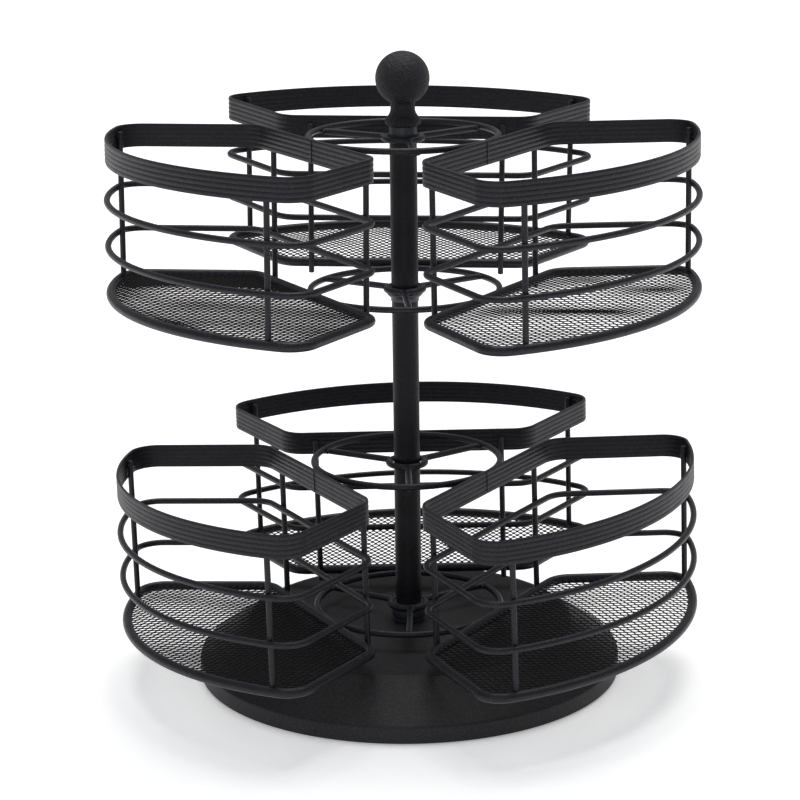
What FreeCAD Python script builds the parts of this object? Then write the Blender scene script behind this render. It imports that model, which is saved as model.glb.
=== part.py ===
import FreeCAD, Part
import math
import os

# Two-tier turning desk organizer: a heavy round base, one central pole, and
# two wire carousels that spin freely on the pole, each carrying three
# fan-shaped mesh-bottomed baskets.  Millimetres, +Z up, origin at the centre
# of the underside of the base, on the pole axis.

V = FreeCAD.Vector
Z = V(0, 0, 1)
os.makedirs("parts", exist_ok=True)

# ---------------------------------------------------------------- dimensions
# base
FOOT_R = 130.3            # outer radius of the upright rim
RIM_TOP = 11.4            # height of the upright rim
PLATEAU_R = 100.0         # radius of the flat top
PLATEAU_Z = 31.0          # height of the flat top
SHEET = 1.2               # pressed sheet of the cover
RIM_FOOT = 0.8            # rim stands this far clear of the table
LIP_IN = 126.2            # inner radius of the turned-in lip
PLATE_R = 128.8           # weight plate
PLATE_Z0, PLATE_T = 2.0, 3.0
PAD_R, PAD_T = 125.6, 2.0  # non-slip foam disc

# pole
LOWER_R = 8.0
UPPER_R = 8.2
TUBE_WALL = 1.2
JOINT_Z = 234.1           # where the lower tube ends
UPPER_TOP = 333.4         # top end of the upper tube
THREAD_R = 3.95           # M8 studs and bolt
TAP_R = 4.0

# hub bushes
BUSH_FLANGE_R = 10.9
BUSH_SLEEVE_R = 8.5
SPIGOT_R = 9.12

# finial
BALL_R = 16.1
BALL_Z = 368.3
NECK_R = 7.3
COLLAR_R = 10.7
FINIAL_Z0 = 340.5

# tiers
TIER_STEP = 200.5         # lower tier hangs this far below the upper one
BAND_TOP = 336.0          # upper tier, top edge of the rim bands
BAND_H = 14.0
BAND_T = 2.0
REEDS = 5
REED_DEPTH = 0.30
WIRE_R = 1.9              # loops, rings, spokes
POST_R = 1.75
FLOOR_R = 2.9             # thick wire round the floor
LOOP_Z = (299.1, 271.6)
FLOOR_Z = 243.1
RING_TOP_Z = 334.1
RING_LOW_Z = 241.2
RING_R = 57.0             # centreline of the large rings
HUB_R = 11.1              # centreline of the small rings round the pole
TIER_TURN = {"upper": 1.1, "lower": -1.1}   # how each carousel stands at rest
# each spoke, hand-welded: angle at the small ring, angle at the large ring
SPOKES = {("upper", "top"): ((288.0, 279.3), (151.7, 151.7), (39.6, 39.6)),
          ("upper", "low"): ((270.6, 274.9), (150.6, 150.6), (36.8, 36.8)),
          ("lower", "top"): ((275.4, 273.6), (154.0, 154.0), (39.0, 39.0)),
          ("lower", "low"): ((276.4, 272.4), (150.0, 150.0), (36.0, 36.0))}
TOP_DROP = 1.4            # high spokes and small ring sit lower than the large ring
TOP_RING_R = {"upper": 56.5, "lower": 57.0}
# how each hand-welded basket stands on its rings: turned about the pole, tipped
# (minus lifts its outer end), leaned about its own axis (degrees), lift, out (mm)
STANCE = {("upper", "back"): (-0.27, -1.10, 0.93, 0.58, 0.0),
          ("upper", "left"): (0.18, -1.10, 0.60, 0.60, 0.0),
          ("upper", "right"): (-0.91, -0.58, 0.19, -0.22, -0.8),
          ("lower", "back"): (1.94, -0.70, -0.99, -0.28, 0.0),
          ("lower", "left"): (-0.27, 0.30, 2.03, -0.80, 0.2),
          ("lower", "right"): (0.45, -1.09, 0.87, 0.60, -0.7)}
STANCE_Z = 289.45         # height of the point on the inner side that it turns about

# basket outline, seen from above; u runs outwards from the pole axis, t across
INNER_U = 58.8            # straight side facing the pole
INNER_HALF = 76.3         # half width where the side walls would meet it
FLARE = 32.3              # side walls open out from the basket's own axis
OUTER_R = 176.8           # outer wall, concentric with the pole
CORNER_IN = 17.0
CORNER_OUT = 16.0
LOOP_PROUD = 1.3          # loops stand proud of the band on sides and front
MESH_T = 0.8
POST_T = 59.0             # inner posts, either side of the basket's axis
# outer posts, hand-set: angles from the basket's own axis, one each side
POST_PHI = {("upper", "back"): (37.0, -37.0), ("upper", "left"): (35.8, -37.0),
            ("upper", "right"): (37.0, -35.6), ("lower", "back"): (37.0, -37.0),
            ("lower", "left"): (37.0, -33.5), ("lower", "right"): (37.0, -37.0)}


# ------------------------------------------------------------------- helpers
def export(shape, name):
    shape.exportStep("parts/%s.step" % name)


def revolve(points):
    # closed profile of straight runs in the XZ plane, spun round Z
    pts = [V(r, 0, z) for r, z in points]
    return Part.Face(Part.makePolygon(pts + [pts[0]])).revolve(V(0, 0, 0), Z, 360)


def outline(shift_in, shift_side, shift_out):
    """Centre points, tangent points and radii of the basket outline.

    The three shifts move the inner side, the side walls and the outer wall
    towards the inside of the basket.
    """
    a = INNER_U + shift_in
    f = math.radians(FLARE)
    d = V(math.cos(f), math.sin(f), 0)           # along the +t side wall
    n = V(math.sin(f), -math.cos(f), 0)          # its inward normal
    q = V(INNER_U, INNER_HALF, 0) + n * shift_side
    r1 = CORNER_IN - min(shift_in, shift_side)
    r2 = CORNER_OUT - max(shift_side, shift_out)
    ro = OUTER_R - shift_out
    o1 = q + n * r1
    c1 = o1 + d * ((a + r1 - o1.x) / d.x)
    o2 = q + n * r2
    b = o2.dot(d)
    c = o2.dot(o2) - (ro - r2) ** 2
    c2 = o2 + d * (-b + math.sqrt(b * b - c))
    p1 = V(a, c1.y, 0)
    p2 = c1 - n * r1
    p3 = c2 - n * r2
    p4 = c2 * (ro / c2.Length)
    m = lambda p: V(p.x, -p.y, 0)
    # going round: inner side, corner, side, corner, outer wall and back
    return [("line", m(p1), p1),
            ("arc", p1, p2, c1, r1),
            ("line", p2, p3),
            ("arc", p3, p4, c2, r2),
            ("arc", p4, m(p4), V(0, 0, 0), ro),
            ("arc", m(p4), m(p3), m(c2), r2),
            ("line", m(p3), m(p2)),
            ("arc", m(p2), m(p1), m(c1), r1)]


def sweep(path, section):
    """Carry a section round a closed outline.

    section(origin, inward) gives a face in the plane of the inward normal and
    +Z.  Straight sides are extruded, corners are spun.
    """
    solids = []
    inside = V(110, 0, 0)
    for seg in path:
        start, end = seg[1], seg[2]
        if seg[0] == "line":
            t = (end - start).normalize()
            n = V(-t.y, t.x, 0)
            if n.dot(inside - start) < 0:
                n = n * -1
            solids.append(section(start, n).extrude(end - start))
        else:
            c = seg[3]
            n = (c - start).normalize()
            a0 = math.atan2(start.y - c.y, start.x - c.x)
            a1 = math.atan2(end.y - c.y, end.x - c.x)
            da = math.degrees(a1 - a0)
            while da > 180:
                da -= 360
            while da < -180:
                da += 360
            solids.append(section(start, n).revolve(c, Z, da))
    fixed = []
    for s in solids:
        if s.Volume < 0:
            s.reverse()
        fixed.append(s)
    body = fixed[0].multiFuse(fixed[1:])
    body = body.removeSplitter()
    return body.Solids[0] if len(body.Solids) == 1 else body


def round_wire(z, r):
    def section(p, n):
        t = n.cross(Z)
        return Part.Face(Part.Wire(Part.makeCircle(r, V(p.x, p.y, z), t)))
    return section


def reeded_strip(z0):
    # upright flat strip rolled with shallow rounded reeds on both faces
    pitch = BAND_H / REEDS

    def section(p, n):
        def at(depth, z):
            return V(p.x + n.x * depth, p.y + n.y * depth, z)
        edges = []
        for i in range(REEDS):
            a, b = z0 + i * pitch, z0 + (i + 1) * pitch
            edges.append(Part.Arc(at(REED_DEPTH, a), at(0, (a + b) / 2),
                                  at(REED_DEPTH, b)).toShape())
        top = z0 + BAND_H
        edges.append(Part.makeLine(at(REED_DEPTH, top), at(BAND_T - REED_DEPTH, top)))
        for i in reversed(range(REEDS)):
            a, b = z0 + i * pitch, z0 + (i + 1) * pitch
            edges.append(Part.Arc(at(BAND_T - REED_DEPTH, b), at(BAND_T, (a + b) / 2),
                                  at(BAND_T - REED_DEPTH, a)).toShape())
        edges.append(Part.makeLine(at(BAND_T - REED_DEPTH, z0), at(REED_DEPTH, z0)))
        return Part.Face(Part.Wire(edges))
    return section


def flat_outline(path, z0, t):
    edges = []
    for seg in path:
        if seg[0] == "line":
            edges.append(Part.makeLine(seg[1], seg[2]))
        else:
            c, r = seg[3], seg[4]
            m = ((seg[1] - c) + (seg[2] - c)).normalize() * r + c
            edges.append(Part.Arc(seg[1], m, seg[2]).toShape())
    f = Part.Face(Part.Wire(edges))
    f.translate(V(0, 0, z0))
    return f.extrude(V(0, 0, t))


def rod(p, q, r):
    return Part.makeCylinder(r, (q - p).Length, p, q - p)


def post(x, y, z0, z1):
    # straight cut wire with softened ends
    c = rod(V(x, y, z0), V(x, y, z1), POST_R)
    return c.makeChamfer(0.35, [e for e in c.Edges
                                if e.Curve.TypeId == "Part::GeomCircle"])


def ring(radius, z):
    return Part.makeTorus(radius, WIRE_R, V(0, 0, z), Z)


# ---------------------------------------------------------------------- base
# pressed bell: upright rim, sloping skirt, flat top, turned-in lip
s = SHEET
base_cover = revolve([
    (FOOT_R, RIM_FOOT + 0.4), (FOOT_R, RIM_TOP - 1.0), (FOOT_R - 0.35, RIM_TOP - 0.3),
    (FOOT_R - 1.1, RIM_TOP + 0.35),
    (PLATEAU_R + 2.6, PLATEAU_Z - 1.5), (PLATEAU_R + 1.0, PLATEAU_Z - 0.45),
    (PLATEAU_R - 1.2, PLATEAU_Z),
    (4.3, PLATEAU_Z), (4.3, PLATEAU_Z - s),
    (PLATEAU_R - 1.5, PLATEAU_Z - s), (PLATEAU_R + 0.3, PLATEAU_Z - s - 0.4),
    (PLATEAU_R + 1.6, PLATEAU_Z - s - 1.2),
    (FOOT_R - s - 0.6, RIM_TOP - 0.6), (FOOT_R - s, RIM_TOP - 1.4),
    (FOOT_R - s, RIM_FOOT + s), (LIP_IN, RIM_FOOT + s), (LIP_IN, RIM_FOOT),
    (FOOT_R - 0.4, RIM_FOOT)])
export(base_cover, "base_cover")
export(Part.makeCylinder(PLATE_R, PLATE_T, V(0, 0, PLATE_Z0)), "base_weight_plate")
export(Part.makeCylinder(PAD_R, PAD_T), "non_slip_pad")

# hex bolt and broad washer that hold the pole, inside the bell
wz = PLATEAU_Z - SHEET
washer = Part.makeCylinder(15.0, 1.6, V(0, 0, wz - 1.6)).cut(
    Part.makeCylinder(4.3, 3.0, V(0, 0, wz - 2.5)))
export(washer, "pole_bolt_washer")
hexa = [V(7.5 * math.cos(math.radians(60 * i)), 7.5 * math.sin(math.radians(60 * i)),
          wz - 1.6 - 5.3) for i in range(6)]
head = Part.Face(Part.makePolygon(hexa + [hexa[0]])).extrude(V(0, 0, 5.3))
bolt = head.fuse(Part.makeCylinder(THREAD_R, 18.0, V(0, 0, wz - 2.0))).removeSplitter()
export(bolt.Solids[0], "pole_bolt")

# ---------------------------------------------------------------------- pole
def tube(r, z0, z1):
    outer = Part.makeCylinder(r, z1 - z0, V(0, 0, z0))
    return outer.cut(Part.makeCylinder(r - TUBE_WALL, z1 - z0 + 2, V(0, 0, z0 - 1)))


def plug(r, z0, z1):
    return Part.makeCylinder(r, z1 - z0, V(0, 0, z0)).cut(
        Part.makeCylinder(TAP_R, z1 - z0 + 2, V(0, 0, z0 - 1)))


WEB = 1.0
export(tube(LOWER_R, PLATEAU_Z, JOINT_Z), "lower_pole")
export(tube(UPPER_R, JOINT_Z + WEB, UPPER_TOP), "upper_pole")
lr, ur = LOWER_R - TUBE_WALL - 0.02, UPPER_R - TUBE_WALL - 0.02
export(Part.makeCompound([plug(lr, PLATEAU_Z, PLATEAU_Z + 15.0),
                          plug(lr, JOINT_Z - 15.0, JOINT_Z)]), "lower_pole_inserts")
export(Part.makeCompound([plug(ur, JOINT_Z + WEB, JOINT_Z + WEB + 15.0),
                          plug(ur, UPPER_TOP - 22.0, UPPER_TOP - 7.5)]),
       "upper_pole_inserts")
export(Part.makeCylinder(THREAD_R, 27.0, V(0, 0, JOINT_Z - 13.0)), "pole_joining_stud")

# plastic bushes: a flange the hub ring runs on and a spigot that centres it
low_hub = RING_LOW_Z - TIER_STEP
ft = low_hub - WIRE_R - 0.2                      # flange top, lower tier
export(revolve([(LOWER_R + 0.02, PLATEAU_Z), (9.4, PLATEAU_Z), (9.4, PLATEAU_Z + 1.6),
                (10.0, PLATEAU_Z + 2.1), (BUSH_FLANGE_R - 0.3, PLATEAU_Z + 3.6),
                (BUSH_FLANGE_R, PLATEAU_Z + 5.2), (BUSH_FLANGE_R, ft - 0.3),
                (BUSH_FLANGE_R - 0.3, ft),
                (SPIGOT_R, ft), (SPIGOT_R, ft + 3.2), (SPIGOT_R - 0.4, ft + 3.6),
                (LOWER_R + 0.02, ft + 3.6)]), "lower_bush")
ft = RING_LOW_Z - WIRE_R - 0.2                   # flange top, upper tier
export(revolve([(4.3, JOINT_Z), (BUSH_SLEEVE_R, JOINT_Z), (BUSH_SLEEVE_R, JOINT_Z + 2.0),
                (9.3, JOINT_Z + 2.5), (10.3, JOINT_Z + 3.5), (BUSH_FLANGE_R, ft - 0.7),
                (BUSH_FLANGE_R, ft - 0.25), (BUSH_FLANGE_R - 0.25, ft),
                (SPIGOT_R, ft), (SPIGOT_R, ft + 3.2), (SPIGOT_R - 0.4, ft + 3.6),
                (UPPER_R + 0.02, ft + 3.6), (UPPER_R + 0.02, JOINT_Z + WEB),
                (4.3, JOINT_Z + WEB)]), "middle_bush")
export(revolve([(4.1, FINIAL_Z0), (BUSH_SLEEVE_R - 0.5, FINIAL_Z0),
                (BUSH_SLEEVE_R, FINIAL_Z0 - 0.5), (BUSH_SLEEVE_R, UPPER_TOP + 0.2),
                (BUSH_SLEEVE_R - 0.2, UPPER_TOP), (UPPER_R - TUBE_WALL - 0.02, UPPER_TOP),
                (UPPER_R - TUBE_WALL - 0.02, UPPER_TOP - 6.5),
                (4.1, UPPER_TOP - 6.5)]), "top_bush")

# ball finial, turned in one piece with its neck and collar, blind tapped hole
zc = BALL_Z
z_join = zc - math.sqrt(BALL_R ** 2 - NECK_R ** 2)
edges = [
    Part.makeLine(V(4.0, 0, FINIAL_Z0), V(COLLAR_R - 1.6, 0, FINIAL_Z0)),
    Part.Arc(V(COLLAR_R - 1.6, 0, FINIAL_Z0), V(COLLAR_R - 0.35, 0, FINIAL_Z0 + 0.7),
             V(COLLAR_R, 0, FINIAL_Z0 + 2.2)).toShape(),
    Part.Arc(V(COLLAR_R, 0, FINIAL_Z0 + 2.2), V(COLLAR_R - 0.25, 0, FINIAL_Z0 + 3.9),
             V(COLLAR_R - 1.5, 0, FINIAL_Z0 + 5.2)).toShape(),
    Part.Arc(V(COLLAR_R - 1.5, 0, FINIAL_Z0 + 5.2), V(NECK_R + 0.5, 0, FINIAL_Z0 + 7.4),
             V(NECK_R, 0, FINIAL_Z0 + 10.2)).toShape(),
    Part.makeLine(V(NECK_R, 0, FINIAL_Z0 + 10.2), V(NECK_R, 0, z_join)),
    Part.Arc(V(NECK_R, 0, z_join), V(BALL_R, 0, zc), V(0, 0, zc + BALL_R)).toShape(),
    Part.makeLine(V(0, 0, zc + BALL_R), V(0, 0, FINIAL_Z0 + 18.0)),
    Part.makeLine(V(0, 0, FINIAL_Z0 + 18.0), V(4.0, 0, FINIAL_Z0 + 18.0)),
    Part.makeLine(V(4.0, 0, FINIAL_Z0 + 18.0), V(4.0, 0, FINIAL_Z0))]
export(Part.Face(Part.Wire(edges)).revolve(V(0, 0, 0), Z, 360), "ball_finial")
export(Part.makeCylinder(THREAD_R, 36.0, V(0, 0, UPPER_TOP - 15.0)), "finial_stud")


# --------------------------------------------------------------------- tiers
def basket(dz):
    band = sweep(outline(0, 0, 0), reeded_strip(BAND_TOP - BAND_H + dz))
    w = WIRE_R
    loop_path = outline(w, w - LOOP_PROUD, w - LOOP_PROUD)
    high, low = [sweep(loop_path, round_wire(z + dz, w)) for z in LOOP_Z]
    f = FLOOR_R
    floor_path = outline(f - 0.5, f - LOOP_PROUD, f - LOOP_PROUD)
    frame = sweep(floor_path, round_wire(FLOOR_Z + dz, f))
    mesh = flat_outline(floor_path, FLOOR_Z + 0.2 + dz, MESH_T)
    # inner posts stand outside the wires, outer posts inside them
    ui = INNER_U - POST_R + 0.2
    ro = OUTER_R - (2 * w - LOOP_PROUD) - POST_R + 0.4
    zi = (FLOOR_Z - FLOOR_R - 2.8 + dz, BAND_TOP - 4.6 + dz)
    zo = (FLOOR_Z + 0.6 + dz, BAND_TOP - 2.6 + dz)
    posts = {}
    for key, angles in POST_PHI.items():
        outer = [post(ro * math.cos(math.radians(a)), ro * math.sin(math.radians(a)), *zo)
                 for a in angles]
        posts[key] = Part.makeCompound([post(ui, POST_T, *zi), post(ui, -POST_T, *zi)] + outer)
    return {"rim_band": band, "high_loop": high, "low_loop": low, "floor_frame": frame,
            "mesh_floor": mesh, "posts": posts}


def stand(shape, tier, side, az):
    """Swing a shape from the basket's own axes to where that basket stands."""
    turn, tip, lean, lift, out = STANCE[(tier, side)]
    c = shape.copy()
    pivot = V(INNER_U, 0, STANCE_Z)
    c.rotate(pivot, V(0, 1, 0), tip)
    c.rotate(pivot, V(1, 0, 0), lean)
    c.translate(V(out, 0, lift))
    c.rotate(V(0, 0, 0), Z, az + TIER_TURN[tier] + turn)
    return c


def welded_ring(tier, z, radius, contact):
    """A large ring with the three short welds that run into the baskets."""
    body = ring(radius, z)
    for side, az in (("back", 90.0), ("left", 210.0), ("right", 330.0)):
        p = stand(Part.Vertex(*contact), tier, side, az).Point
        a = math.atan2(p.y, p.x)
        start = V(radius * math.cos(a), radius * math.sin(a), z)
        body = body.fuse(rod(start, V(p.x, p.y, p.z), 1.65))
    return body.removeSplitter().Solids[0]


def wheel(tier, level, z):
    radius = TOP_RING_R[tier] if level == "top" else RING_R
    low = z - (TOP_DROP if level == "top" else 0.0)
    spokes = []
    for at_hub, at_ring in SPOKES[(tier, level)]:
        a, b = math.radians(at_hub), math.radians(at_ring)
        spokes.append(rod(V(math.cos(a), math.sin(a), 0) * (HUB_R + 1.2) + V(0, 0, low),
                          V(math.cos(b), math.sin(b), 0) * (radius - 1.2) + V(0, 0, low),
                          WIRE_R))
    contact = ((INNER_U + 0.7, 0.0, z) if level == "top"
               else (INNER_U + 2.2, 0.0, FLOOR_Z))
    return ring(HUB_R, low), spokes, welded_ring(tier, z, radius, contact)


def moved(item, dz):
    if isinstance(item, list):
        return [moved(x, dz) for x in item]
    c = item.copy()
    c.translate(V(0, 0, dz))
    return c


one = basket(0.0)
for tier, dz in (("upper", 0.0), ("lower", -TIER_STEP)):
    for side, az in (("back", 90.0), ("left", 210.0), ("right", 330.0)):
        for name, shape in one.items():
            piece = shape[(tier, side)] if name == "posts" else shape
            c = stand(piece, tier, side, az)
            c.translate(V(0, 0, dz))
            export(c, "%s_%s_%s" % (tier, side, name))
    h1, s1, r1 = [moved(x, dz) for x in wheel(tier, "top", RING_TOP_Z)]
    h2, s2, r2 = [moved(x, dz) for x in wheel(tier, "low", RING_LOW_Z)]
    export(Part.makeCompound([h1, h2]), "%s_hub_rings" % tier)
    export(Part.makeCompound(s1 + s2), "%s_spokes" % tier)
    export(r1, "%s_top_ring" % tier)
    export(r2, "%s_bottom_ring" % tier)
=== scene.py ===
# A two-tier spinning desk organizer in black powder-coated wire, with its studio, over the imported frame.
import math
import random

import bpy
import numpy as np
from mathutils import Matrix, Vector, noise
from mathutils.geometry import delaunay_2d_cdt


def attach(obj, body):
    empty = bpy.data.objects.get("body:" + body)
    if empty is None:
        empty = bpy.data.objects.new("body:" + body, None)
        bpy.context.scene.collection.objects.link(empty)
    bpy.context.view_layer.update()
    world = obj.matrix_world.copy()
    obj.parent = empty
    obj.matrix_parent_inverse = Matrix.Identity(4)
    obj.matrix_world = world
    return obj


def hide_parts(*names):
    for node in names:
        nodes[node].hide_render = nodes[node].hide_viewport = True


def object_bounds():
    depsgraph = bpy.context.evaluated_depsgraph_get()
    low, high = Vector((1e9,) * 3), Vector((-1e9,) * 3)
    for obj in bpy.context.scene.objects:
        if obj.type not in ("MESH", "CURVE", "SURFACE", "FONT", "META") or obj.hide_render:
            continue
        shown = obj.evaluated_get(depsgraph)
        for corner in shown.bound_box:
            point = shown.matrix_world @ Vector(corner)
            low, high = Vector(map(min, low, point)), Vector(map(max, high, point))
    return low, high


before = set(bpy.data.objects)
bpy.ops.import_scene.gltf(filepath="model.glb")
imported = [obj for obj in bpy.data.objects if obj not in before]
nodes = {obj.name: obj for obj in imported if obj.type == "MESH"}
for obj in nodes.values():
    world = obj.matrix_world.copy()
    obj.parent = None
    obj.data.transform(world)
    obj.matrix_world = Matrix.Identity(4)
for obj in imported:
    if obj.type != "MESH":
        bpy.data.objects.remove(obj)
cad_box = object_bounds()
MM = 0.001
TIERS = {"upper": 0.0, "lower": -200.5}
TURN = {"upper": 1.1, "lower": -1.1}
PLACES = {"back": 90.0, "left": 210.0, "right": 330.0}
# how each basket stands on its rings: turned, tipped, leaned (degrees), lifted, out (mm), as in the CAD
STANCE = {
    ("upper", "back"): (-0.27, -1.10, 0.93, 0.58, 0.0),
    ("upper", "left"): (0.18, -1.10, 0.60, 0.60, 0.0),
    ("upper", "right"): (-0.91, -0.58, 0.19, -0.22, -0.8),
    ("lower", "back"): (1.94, -0.70, -0.99, -0.28, 0.0),
    ("lower", "left"): (-0.27, 0.30, 2.03, -0.80, 0.2),
    ("lower", "right"): (0.45, -1.09, 0.87, 0.60, -0.7),
}
STANCE_Z = 289.45
POST_PHI = {("upper", "left"): (35.8, -37.0), ("upper", "right"): (37.0, -35.6), ("lower", "left"): (37.0, -33.5)}
rng = random.Random(11)

# ---------------------------------------------------------------- materials

def new_material(name):
    m = bpy.data.materials.new(name)
    m.use_nodes = True
    t = m.node_tree
    t.nodes.clear()
    out = t.nodes.new("ShaderNodeOutputMaterial")
    b = t.nodes.new("ShaderNodeBsdfPrincipled")
    t.links.new(b.outputs["BSDF"], out.inputs["Surface"])
    return m, t, b


def noise_tex(t, vec, scale, detail=2.0, rough=0.5, distort=0.0):
    n = t.nodes.new("ShaderNodeTexNoise")
    n.inputs["Scale"].default_value = scale
    n.inputs["Detail"].default_value = detail
    n.inputs["Roughness"].default_value = rough
    n.inputs["Distortion"].default_value = distort
    t.links.new(vec, n.inputs["Vector"])
    return n.outputs["Fac"]


def ramp(t, fac, stops):
    r = t.nodes.new("ShaderNodeValToRGB")
    els = r.color_ramp.elements
    while len(els) < len(stops):
        els.new(0.5)
    for e, (p, c) in zip(els, stops):
        e.position = p
        e.color = (c[0], c[1], c[2], 1) if isinstance(c, tuple) else (c, c, c, 1)
    t.links.new(fac, r.inputs["Fac"])
    return r.outputs["Color"]


def mix(t, fac, a, b, mode="MIX"):
    m = t.nodes.new("ShaderNodeMix")
    m.data_type = "RGBA"
    m.blend_type = mode
    if isinstance(fac, float):
        m.inputs["Factor"].default_value = fac
    else:
        t.links.new(fac, m.inputs["Factor"])
    for sock, v in ((m.inputs[6], a), (m.inputs[7], b)):
        if isinstance(v, tuple):
            sock.default_value = (v[0], v[1], v[2], 1)
        else:
            t.links.new(v, sock)
    return m.outputs[2]


def bump(t, height, strength, distance, normal=None):
    b = t.nodes.new("ShaderNodeBump")
    b.inputs["Strength"].default_value = strength
    b.inputs["Distance"].default_value = distance
    t.links.new(height, b.inputs["Height"])
    if normal is not None:
        t.links.new(normal, b.inputs["Normal"])
    return b.outputs["Normal"]


def powder_coat(name, tone=(0.0078, 0.0074, 0.0104), grain=1.0, rough=0.42, spec=0.27, scale=1.0, speckle=0.35):
    """Satin black powder coat: orange-peel skin, fine grain, thin places on edges, faint dust."""
    m, t, b = new_material(name)
    tc = t.nodes.new("ShaderNodeTexCoord").outputs["Object"]
    geo = t.nodes.new("ShaderNodeNewGeometry")
    broad = noise_tex(t, tc, 38.0, 3.0, 0.55)
    peel = noise_tex(t, tc, 620.0 * scale, 2.0, 0.5)
    fine = noise_tex(t, tc, 1900.0 * scale, 2.0, 0.6)
    # colour: a little uneven, paler where the coat is thin over an edge, with scattered lint and dust
    base = mix(t, broad, tuple(c * 0.82 for c in tone), tuple(c * 1.22 for c in tone))
    edge = ramp(t, geo.outputs["Pointiness"], [(0.52, 0.0), (0.60, 1.0)])
    base = mix(t, mix(t, 0.35, (0.0, 0.0, 0.0), edge), base, tuple(c * 2.1 for c in tone))
    dust = ramp(t, noise_tex(t, tc, 1050.0, 1.0, 0.4), [(0.735, 0.0), (0.78, 1.0)])
    base = mix(t, mix(t, 0.5, (0.0, 0.0, 0.0), dust), base, (0.040, 0.039, 0.038))
    if speckle:
        dots = ramp(t, noise_tex(t, tc, 860.0, 1.0, 0.5), [(0.50, 0.0), (0.62, 1.0)])
        base = mix(t, mix(t, speckle, (0.0, 0.0, 0.0), dots), base, tuple(c * 3.4 for c in tone))
    t.links.new(base, b.inputs["Base Color"])
    rr = mix(t, noise_tex(t, tc, 95.0, 3.0, 0.6), (rough - 0.06,) * 3, (rough + 0.08,) * 3)
    rr = mix(t, fine, rr, (rough + 0.14,) * 3, "LIGHTEN") if grain > 1.4 else rr
    t.links.new(rr, b.inputs["Roughness"])
    n = bump(t, peel, 0.55 * grain, 0.00040)
    n = bump(t, fine, 0.45 * grain, 0.00012, n)
    t.links.new(n, b.inputs["Normal"])
    b.inputs["Specular IOR Level"].default_value = spec
    return m


def nylon(name):
    """Moulded blue-black plastic: soft sheen, faint flow marks round the axis."""
    m, t, b = new_material(name)
    tc = t.nodes.new("ShaderNodeTexCoord").outputs["Object"]
    flow = t.nodes.new("ShaderNodeTexWave")
    flow.wave_type = "BANDS"
    flow.bands_direction = "Z"
    flow.inputs["Scale"].default_value = 260.0
    flow.inputs["Distortion"].default_value = 1.4
    t.links.new(tc, flow.inputs["Vector"])
    base = mix(t, noise_tex(t, tc, 240.0, 2.0), (0.020, 0.022, 0.028), (0.030, 0.033, 0.041))
    t.links.new(base, b.inputs["Base Color"])
    t.links.new(mix(t, noise_tex(t, tc, 700.0), (0.34,) * 3, (0.47,) * 3), b.inputs["Roughness"])
    n = bump(t, flow.outputs["Fac"], 0.10, 0.00005)
    n = bump(t, noise_tex(t, tc, 1500.0), 0.20, 0.00005, n)
    t.links.new(n, b.inputs["Normal"])
    b.inputs["Specular IOR Level"].default_value = 0.5
    return m


def steel(name, tone=(0.42, 0.41, 0.39)):
    """Zinc-plated steel with drawn lines and dull blotches."""
    m, t, b = new_material(name)
    tc = t.nodes.new("ShaderNodeTexCoord").outputs["Object"]
    st = t.nodes.new("ShaderNodeMapping")
    st.inputs["Scale"].default_value = (1.0, 1.0, 0.06)
    t.links.new(tc, st.inputs["Vector"])
    lines = noise_tex(t, st.outputs["Vector"], 1500.0, 3.0, 0.6)
    blot = noise_tex(t, tc, 130.0, 3.0, 0.6)
    base = mix(t, blot, tuple(c * 0.75 for c in tone), tone)
    t.links.new(base, b.inputs["Base Color"])
    t.links.new(mix(t, blot, (0.30,) * 3, (0.48,) * 3), b.inputs["Roughness"])
    t.links.new(bump(t, lines, 0.25, 0.00006), b.inputs["Normal"])
    b.inputs["Metallic"].default_value = 1.0
    return m


def foam(name):
    """Closed-cell foam rubber: matt, pitted, with painted shade in the pits."""
    m, t, b = new_material(name)
    tc = t.nodes.new("ShaderNodeTexCoord").outputs["Object"]
    v = t.nodes.new("ShaderNodeTexVoronoi")
    v.inputs["Scale"].default_value = 900.0
    t.links.new(tc, v.inputs["Vector"])
    base = mix(t, noise_tex(t, tc, 60.0, 4.0), (0.010, 0.010, 0.010), (0.022, 0.021, 0.020))
    # painted shade: the colour goes nearly black in the cell pits, where the bump below sets the surface lowest
    base = mix(t, ramp(t, v.outputs["Distance"], [(0.0, 0.0), (0.5, 1.0)]), (0.004, 0.004, 0.004), base)
    t.links.new(base, b.inputs["Base Color"])
    t.links.new(mix(t, noise_tex(t, tc, 300.0), (0.82,) * 3, (0.95,) * 3), b.inputs["Roughness"])
    t.links.new(bump(t, v.outputs["Distance"], 0.5, 0.0002), b.inputs["Normal"])
    b.inputs["Specular IOR Level"].default_value = 0.2
    return m


COAT_WIRE = powder_coat("coat_wire", grain=1.0, rough=0.40)
COAT_BAND = powder_coat("coat_band", grain=1.0, rough=0.44)
COAT_BASE = powder_coat("coat_base", tone=(0.0100, 0.0097, 0.0112), grain=1.0, rough=0.50, spec=0.26)
COAT_BALL = powder_coat("coat_ball", tone=(0.0036, 0.0036, 0.0060), grain=6.5, rough=0.42, spec=0.36, scale=1.15, speckle=1.0)
COAT_POLE = powder_coat("coat_pole", tone=(0.0052, 0.0050, 0.0062), grain=0.9, rough=0.42, spec=0.16)
COAT_MESH = powder_coat("coat_mesh", tone=(0.0040, 0.0037, 0.0036), grain=0.8, rough=0.60, spec=0.08)
NYLON = nylon("moulded_nylon")
STEEL = steel("zinc_steel")
PLATE = steel("plate_steel", (0.30, 0.29, 0.28))
FOAM = foam("foam_rubber")

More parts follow.
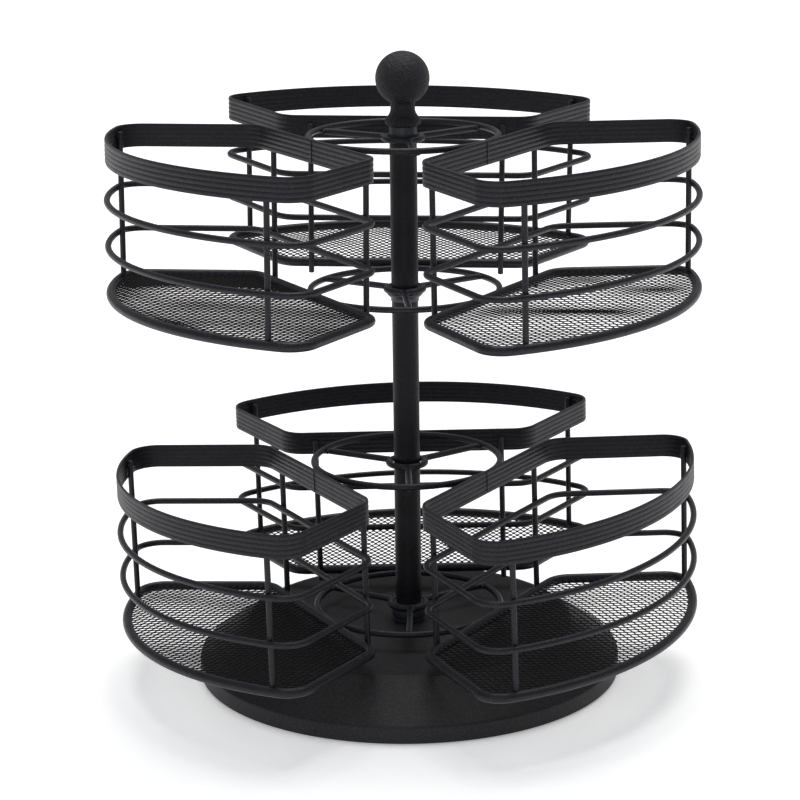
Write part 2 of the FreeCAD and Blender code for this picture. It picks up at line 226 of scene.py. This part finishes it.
for name, ob in nodes.items():
    if "mesh_floor" in name:
        mat = COAT_MESH
    elif name == "base_cover":
        mat = COAT_BASE
    elif name == "ball_finial":
        mat = COAT_BALL
    elif name in ("lower_pole", "upper_pole"):
        mat = COAT_POLE
    elif name.endswith("_bush"):
        mat = NYLON
    elif name == "non_slip_pad":
        mat = FOAM
    elif name == "base_weight_plate":
        mat = PLATE
    elif name.startswith("pole_") or name.endswith("_inserts") or name.endswith("_stud"):
        mat = STEEL
    elif name.endswith("_rim_band"):
        mat = COAT_BAND
    else:
        mat = COAT_WIRE
    for slot in ob.material_slots:
        slot.material = mat

# ---------------------------------------------------------------- basket outline, in its own radial and cross directions
INNER_U, INNER_HALF, FLARE, OUTER_R, C1, C2 = 58.8, 76.3, 32.3, 176.8, 17.0, 16.0


def outline(si, ss, so, m=10, arc_n=40):
    """Closed outline of a basket, moved in by si at its straight inner side, ss at its sides and so at its outer arc."""
    a = INNER_U + si
    f = math.radians(FLARE)
    d = np.array([math.cos(f), math.sin(f)])
    n = np.array([math.sin(f), -math.cos(f)])
    q = np.array([INNER_U, INNER_HALF]) + n * ss
    r1 = max(C1 - min(si, ss), 1)
    r2 = max(C2 - max(ss, so), 1)
    ro = OUTER_R - so
    o1 = q + n * r1
    c1 = o1 + d * ((a + r1 - o1[0]) / d[0])
    o2 = q + n * r2
    b = o2 @ d
    c = o2 @ o2 - (ro - r2) ** 2
    c2 = o2 + d * (-b + math.sqrt(b * b - c))
    p1 = np.array([a, c1[1]])
    p2 = c1 - n * r1
    p3 = c2 - n * r2
    p4 = c2 * (ro / np.linalg.norm(c2))

    def arc(cc, p, q_, k):
        a0 = math.atan2(*(p - cc)[::-1])
        a1 = math.atan2(*(q_ - cc)[::-1])
        t = np.linspace(a0, a1, k)
        r = np.linalg.norm(p - cc)
        return np.c_[cc[0] + r * np.cos(t), cc[1] + r * np.sin(t)]

    half = np.vstack([arc(c1, p1, p2, m), arc(c2, p3, p4, m)])
    a1 = math.atan2(p4[1], p4[0])
    t = np.linspace(a1, -a1, arc_n)[1:-1]
    big = np.c_[ro * np.cos(t), ro * np.sin(t)]
    return np.vstack([half, big, (half * [1, -1])[::-1]])


def to_world(u, t, z, tier, place):
    """From a basket's own axes (radial, cross, height in the upper tier; mm) to the frame (metres)."""
    turn, tip, lean, lift, out = STANCE[(tier, place)]
    x, y, h = u - INNER_U, t, z - STANCE_Z
    a = math.radians(tip)
    x, h = x * math.cos(a) + h * math.sin(a), -x * math.sin(a) + h * math.cos(a)
    a = math.radians(lean)
    y, h = y * math.cos(a) - h * math.sin(a), y * math.sin(a) + h * math.cos(a)
    x, h = x + INNER_U + out, h + STANCE_Z + lift + TIERS[tier]
    a = math.radians(PLACES[place] + TURN[tier] + turn)
    return np.stack([x * math.cos(a) - y * math.sin(a), x * math.sin(a) + y * math.cos(a), h + 0 * x], -1) * MM


def link_mesh(name, verts, faces, mat, smooth=True):
    me = bpy.data.meshes.new(name)
    me.from_pydata([tuple(v) for v in verts], [], faces)
    me.validate()
    me.update()
    me.materials.append(mat)
    if smooth:
        me.polygons.foreach_set("use_smooth", [True] * len(me.polygons))
    ob = bpy.data.objects.new(name, me)
    bpy.context.scene.collection.objects.link(ob)
    return ob


# ---------------------------------------------------------------- expanded-metal floors
LONG, SHORT = 7.3, 4.6          # diamond pitches: long way along the basket, short way across it
HOLE_U, HOLE_T = 2.50, 1.72     # half sizes of an opening at the sheet's faces
SHEET_T = 0.50
FLOOR_Z = 243.7


def hole(cu, ct, k=12, power=1.25):
    th = (np.arange(k) / k) * 2 * math.pi
    c, s = np.cos(th), np.sin(th)
    return np.c_[cu + HOLE_U * np.sign(c) * np.abs(c) ** power, ct + HOLE_T * np.sign(s) * np.abs(s) ** power]


def expanded_sheet():
    """One flat sheet: 2-D points and triangles."""
    edge = outline(2.4, 1.6, 1.6, m=12, arc_n=70)[::-1]
    lo, hi = edge.min(0), edge.max(0)
    pts = [tuple(p) for p in edge]
    faces = [list(range(len(pts)))]
    nu, nt = int(hi[0] / LONG) + 2, int(hi[1] / SHORT) + 2
    for i in range(int(lo[0] / LONG) - 1, nu):
        for j in range(-nt, nt + 1):
            for half in (0.0, 0.5):
                cu, ct = (i + half) * LONG, (j + half) * SHORT
                h = hole(cu, ct)
                inside = h[(h[:, 0] > lo[0] - 1) & (h[:, 0] < hi[0] + 1) & (np.abs(h[:, 1]) < hi[1] + 1)]
                if len(inside) < len(h):
                    continue
                base = len(pts)
                pts += [tuple(p) for p in h]
                faces.append(list(range(base, base + len(h))))
    v, e, f, ov, oe, of_ = delaunay_2d_cdt([Vector(p) for p in pts], [], faces, 1, 1e-5)
    keep = [tuple(tri) for tri, src in zip(f, of_) if list(src) == [0]]
    pos = np.array([(p.x, p.y) for p in v])
    used = sorted({i for tri in keep for i in tri})
    back = {old: new for new, old in enumerate(used)}
    pos = pos[used]
    tris = np.array([[back[i] for i in tri] for tri in keep])
    a, b, c = pos[tris[:, 0]], pos[tris[:, 1]], pos[tris[:, 2]]
    area = (b[:, 0] - a[:, 0]) * (c[:, 1] - a[:, 1]) - (b[:, 1] - a[:, 1]) * (c[:, 0] - a[:, 0])
    tris[area < 0] = tris[area < 0][:, ::-1]
    tris = tris[np.abs(area) > 1e-7]
    return pos, tris


FLAT, TRIS = expanded_sheet()


def sheet_edges(tris):
    """Directed boundary edges of the triangles."""
    seen = set()
    for a, b, c in tris.tolist():
        seen.update(((a, b), (b, c), (c, a)))
    return [(a, b) for a, b in seen if (b, a) not in seen]


BORDER = sheet_edges(TRIS)

# places where each sheet has been pressed down or sprung up: (radial, cross, height, radius), in mm
DENTS = {
    ("upper", "left"): [(139, -62, 1.43, 17), (113, -46, 1.65, 18), (87, -29, 1.54, 16), (74, 2, 0.99, 15), (158, 66, -1.10, 18),
                        (142, 86, -1.10, 18), (164, 24, -0.66, 15), (160, -42, 0.55, 14), (112, 40, -0.33, 20)],
    ("upper", "right"): [(98, -49, 1.51, 15), (79, -16, -1.13, 13), (132, -29, 1.51, 15), (107, -1, -1.31, 13), (154, -23, 1.13, 14),
                         (133, 2, -1.13, 13), (99, 45, 1.51, 14), (84, 22, 0.94, 12), (151, 43, 1.31, 14), (135, 66, -0.94, 13)],
    ("upper", "back"): [(90, 81, 1.0, 18), (106, 56, 0.9, 18), (124, 88, -0.6, 16), (124, -27, 0.5, 18), (137, 19, 0.6, 18), (97, -72, 0.6, 16)],
    ("lower", "left"): [(158, -54, 1.08, 15), (139, -80, 0.96, 16), (127, -62, 0.84, 16), (107, -33, 0.96, 18), (95, 30, 0.84, 18),
                        (78, 43, -0.84, 15), (148, 19, -0.72, 17), (108, 70, 0.72, 16)],
    ("lower", "right"): [(147, 54, 1.08, 17), (111, 56, 0.96, 17), (97, 18, 0.84, 16), (95, -49, 0.96, 17), (132, -64, -0.84, 17),
                         (150, -2, -0.72, 17), (101, -72, 0.60, 15)],
    ("lower", "back"): [(149, 65, 0.8, 17), (106, 29, -0.6, 18), (122, -37, 0.7, 18), (100, -70, -0.5, 16), (145, -4, 0.6, 18)],
}


def sheet_height(u, t, key):
    """How far the sheet lies above or below flat, fading out at its edges."""
    z = np.zeros_like(u)
    for cu, ct, h, r in DENTS[key]:
        z += h * np.exp(-((u - cu) ** 2 + (t - ct) ** 2) / (2 * r * r))
    phase = {"left": 0.4, "right": 2.1, "back": 4.0}[key[1]] + (0.9 if key[0] == "lower" else 0.0)
    z += 0.22 * np.sin(u / 9.5 + phase) * np.cos(t / 11.0 - phase)
    fade = np.clip(np.minimum(u - (INNER_U + 3), np.hypot(u, t) * -1 + OUTER_R - 3) / 12.0, 0.0, 1.0)
    f = math.radians(FLARE)
    side = (INNER_HALF + (u - INNER_U) * math.tan(f) - np.abs(t)) * math.cos(f) - 2.5
    return z * fade * np.clip(side / 12.0, 0.0, 1.0)


def floor_piece(tier, place):
    u, t = FLAT[:, 0], FLAT[:, 1]
    z = FLOOR_Z + sheet_height(u, t, (tier, place))
    z = z + 0.085 * np.cos(2 * math.pi * u / LONG) * np.sin(2 * math.pi * t / SHORT)   # each bond is a little twisted
    # where a point borders an opening, the wall between the faces bulges into it
    cu0 = np.round(u / LONG) * LONG
    ct0 = np.round(t / SHORT) * SHORT
    cu1 = (np.floor(u / LONG) + 0.5) * LONG
    ct1 = (np.floor(t / SHORT) + 0.5) * SHORT
    d0 = ((u - cu0) / HOLE_U) ** 2 + ((t - ct0) / HOLE_T) ** 2
    d1 = ((u - cu1) / HOLE_U) ** 2 + ((t - ct1) / HOLE_T) ** 2
    cu = np.where(d0 < d1, cu0, cu1)
    ct = np.where(d0 < d1, ct0, ct1)
    du, dt = cu - u, ct - t
    ln = np.maximum(np.hypot(du, dt), 1e-6)
    mu, mt = u + du / ln * 0.11, t + dt / ln * 0.11
    n = len(u)
    verts = np.vstack([to_world(u, t, z + SHEET_T / 2, tier, place), to_world(u, t, z - SHEET_T / 2, tier, place),
                       to_world(mu, mt, z, tier, place)])
    faces = [tuple(x) for x in TRIS.tolist()] + [(a + n, c + n, b + n) for a, b, c in TRIS.tolist()]
    used = set()
    for a, b in BORDER:
        faces.append((b, a, a + 2 * n, b + 2 * n))
        faces.append((b + 2 * n, a + 2 * n, a + n, b + n))
        used.update((a + 2 * n, b + 2 * n))
    keep = np.ones(3 * n, bool)
    keep[2 * n:] = False
    keep[list(used)] = True
    index = np.cumsum(keep) - 1
    faces = [tuple(int(index[i]) for i in fc) for fc in faces]
    ob = link_mesh(f"{tier}_{place}_expanded_floor", verts[keep], faces, COAT_MESH)
    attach(ob, f"{tier}_tier")
    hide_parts(f"{tier}_{place}_mesh_floor")
    return ob


for tier in TIERS:
    for place in PLACES:
        floor_piece(tier, place)

# ---------------------------------------------------------------- weld beads
SPOKES = {
    ("upper", "top"): ((288.0, 279.3), (151.7, 151.7), (39.6, 39.6)),
    ("upper", "low"): ((270.6, 274.9), (150.6, 150.6), (36.8, 36.8)),
    ("lower", "top"): ((275.4, 273.6), (154.0, 154.0), (39.0, 39.0)),
    ("lower", "low"): ((276.4, 272.4), (150.0, 150.0), (36.0, 36.0)),
}


class Beads:
    """Weld metal as one mesh: rounded, uneven lumps that lap on to both parts they join."""

    def __init__(self):
        self.v, self.f = [], []

    def add(self, centre, size, along=(1, 0, 0), up=(0, 0, 1), rough=0.10, rings=7, seg=12):
        x = Vector(along).normalized()
        z = Vector(up).normalized()
        y = z.cross(x).normalized()
        z = x.cross(y).normalized()
        off = Vector((rng.random() * 50, rng.random() * 50, rng.random() * 50))
        base = len(self.v)

        def put(d):
            k = 1.0 + rough * noise.noise(d * 1.7 + off) * 2 + 0.5 * rough * noise.noise(d * 4.1 + off)
            p = Vector(centre) + (x * d.x * size[0] + y * d.y * size[1] + z * d.z * size[2]) * k
            self.v.append(p * MM)

        put(Vector((0, 0, 1)))
        for i in range(1, rings):
            th = math.pi * i / rings
            for j in range(seg):
                ph = 2 * math.pi * j / seg
                put(Vector((math.sin(th) * math.cos(ph), math.sin(th) * math.sin(ph), math.cos(th))))
        put(Vector((0, 0, -1)))
        last = len(self.v) - 1
        for j in range(seg):
            k = (j + 1) % seg
            self.f.append((base, base + 1 + j, base + 1 + k))
            self.f.append((last, last - seg + k, last - seg + j))
            for i in range(rings - 2):
                a = base + 1 + i * seg
                self.f.append((a + j, a + seg + j, a + seg + k, a + k))

    def make(self, name, body, mat=None):
        ob = link_mesh(name, self.v, self.f, mat or COAT_WIRE)
        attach(ob, body)
        return ob


def place_point(u, t, z, tier, place):
    return Vector(to_world(np.float64(u), np.float64(t), np.float64(z), tier, place)) / MM


TOP_RING_R = {"upper": 56.5, "lower": 57.0}
for tier, dz in TIERS.items():
    post = Beads()
    ring = Beads()
    spoke = Beads()
    seam = Beads()
    for place in PLACES:
        def at(u, t, z, tier=tier, place=place):
            return place_point(u, t, z, tier, place)

        radial = at(1, 0, 0) - at(0, 0, 0)
        cross = at(0, 1, 0) - at(0, 0, 0)
        upward = at(0, 0, 1) - at(0, 0, 0)
        # hub rings to the basket: one lump each side of the short weld, where the two curves part
        for z, rr, u_on in ((334.1, TOP_RING_R[tier], 58.75), (241.2, 57.0, 59.2)):
            for s in (1, -1):
                c = at(u_on, s * 4.3, z if z > 300 else 242.4)
                a = math.atan2(c.y, c.x)
                on_ring = Vector((rr * math.cos(a), rr * math.sin(a), z + dz))
                mid = c * 0.5 + on_ring * 0.5 + (c - on_ring).normalized() * 0.3
                gap = (c - on_ring).length
                ring.add(mid, (3.4, max(1.2, gap * 0.5 + 0.25), 1.7), cross, rough=0.16)
        # butt joint of the rim strip, dressed flat, in the middle of its straight side
        for u in (58.72, 60.9):
            for k in range(9):
                seam.add(at(u, -2.2 + rng.uniform(-.10, .10), 323.3 + 1.42 * k), (0.80, 0.24, 0.95), cross, upward, rough=0.18, rings=5, seg=8)
        # upright wires to the loops, the band and the floor wire
        for s in (1, -1):
            for z in (299.1, 271.6, 243.9):
                post.add(at(58.3, s * 59 + rng.uniform(-.2, .2), z), (1.7, 1.9, 1.2), cross, upward, rough=0.12)
            post.add(at(58.4, s * 59, 328.6), (1.6, 1.2, 2.3), cross, upward, rough=0.14)
            a = math.radians(POST_PHI.get((tier, place), (37.0, -37.0))[0 if s > 0 else 1])
            side = at(-math.sin(a), math.cos(a), 0) - at(0, 0, 0)
            for z in (299.1, 271.6, 244.4):
                post.add(at(173.85 * math.cos(a), 173.85 * math.sin(a), z), (1.9, 1.5, 1.2), side, upward, rough=0.12)
            post.add(at(174.15 * math.cos(a), 174.15 * math.sin(a), 330.6), (2.0, 1.1, 2.2), side, upward, rough=0.14)
    for level, z in (("top", 332.7), ("low", 241.2)):
        r_end = (TOP_RING_R[tier] if level == "top" else 57.0) - 1.9
        for a_in, a_out in SPOKES[(tier, level)]:
            pi = Vector((13.2 * math.cos(math.radians(a_in)), 13.2 * math.sin(math.radians(a_in)), z + dz))
            po = Vector((r_end * math.cos(math.radians(a_out)), r_end * math.sin(math.radians(a_out)), z + dz))
            d = (po - pi).normalized()
            s = Vector((-d.y, d.x, 0))
            for sgn in (1, -1):
                spoke.add(pi + s * 1.6 * sgn + d * 0.5, (1.7, 1.3, 1.5), s, rough=0.15)
                spoke.add(po + s * 1.7 * sgn - d * 0.1, (1.9, 1.3, 1.5), s, rough=0.15)
    post.make(f"{tier}_upright_welds", f"{tier}_tier")
    ring.make(f"{tier}_ring_welds", f"{tier}_tier")
    spoke.make(f"{tier}_spoke_welds", f"{tier}_tier")
    seam.make(f"{tier}_strip_joints", f"{tier}_tier", COAT_BAND)

# ---------------------------------------------------------------- studio: pale floor, soft overhead light
me = bpy.data.meshes.new("studio_floor")
S = 16.0
me.from_pydata([(-S, -S, 0), (S, -S, 0), (S, S, 0), (-S, S, 0)], [], [(0, 1, 2, 3)])
floor = bpy.data.objects.new("studio_floor", me)
bpy.context.scene.collection.objects.link(floor)
m, t, b = new_material("pale_floor")
tc = t.nodes.new("ShaderNodeTexCoord").outputs["Object"]
t.links.new(mix(t, noise_tex(t, tc, 6.0, 3.0), (0.93, 0.93, 0.93), (0.95, 0.95, 0.95)), b.inputs["Base Color"])
b.inputs["Roughness"].default_value = 0.9
b.inputs["Specular IOR Level"].default_value = 0.0
b.inputs["Emission Color"].default_value = (1, 1, 1, 1)
b.inputs["Emission Strength"].default_value = 0.30
me.materials.append(m)
floor.location.z = cad_box[0][2] - 0.00005

world = bpy.data.worlds.new("studio")
bpy.context.scene.world = world
world.use_nodes = True
wt = world.node_tree
wt.nodes.clear()
wo = wt.nodes.new("ShaderNodeOutputWorld")
bg = wt.nodes.new("ShaderNodeBackground")
bg.inputs["Color"].default_value = (0.95, 0.97, 1.0, 1)
bg.inputs["Strength"].default_value = 0.34
wt.links.new(bg.outputs["Background"], wo.inputs["Surface"])


def sun(name, energy, angle, direction, color=(1, 1, 1)):
    data = bpy.data.lights.new(name, "SUN")
    data.energy = energy
    data.angle = math.radians(angle)
    data.color = color
    ob = bpy.data.objects.new(name, data)
    ob.rotation_mode = "QUATERNION"
    ob.rotation_quaternion = Vector(direction).to_track_quat("-Z", "Y")
    bpy.context.scene.collection.objects.link(ob)
    return ob


sun("top_softbox", 2.3, 42.0, (-0.05, -0.30, -1.0), (1.0, 0.985, 0.965))
sun("front_window", 0.42, 60.0, (0.40, 1.0, -0.80), (0.84, 0.90, 1.0))

# ---------------------------------------------------------------- camera
D, H, LENS = 1.499291, 0.579524, 114.69
orbit, pitch, roll = math.radians(2.4), math.radians(15.21996), math.radians(-0.74055)
yaw = math.radians(-2.5465)
fwd = Vector((math.sin(yaw) * math.cos(pitch), math.cos(yaw) * math.cos(pitch), -math.sin(pitch)))
right = Vector((math.cos(yaw), -math.sin(yaw), 0))
up = right.cross(fwd)
r2 = right * math.cos(roll) + up * math.sin(roll)
u2 = up * math.cos(roll) - right * math.sin(roll)
cam_data = bpy.data.cameras.new("camera")
cam_data.lens = LENS
cam_data.sensor_width = 36.0
cam_data.clip_end = 60.0
cam = bpy.data.objects.new("camera", cam_data)
bpy.context.scene.collection.objects.link(cam)
rot = Matrix((r2, u2, -fwd)).transposed().to_4x4()
cam.matrix_world = Matrix.Translation((D * math.sin(orbit), -D * math.cos(orbit), H)) @ rot
bpy.context.scene.camera = cam
bpy.context.scene.view_settings.view_transform = "Standard"
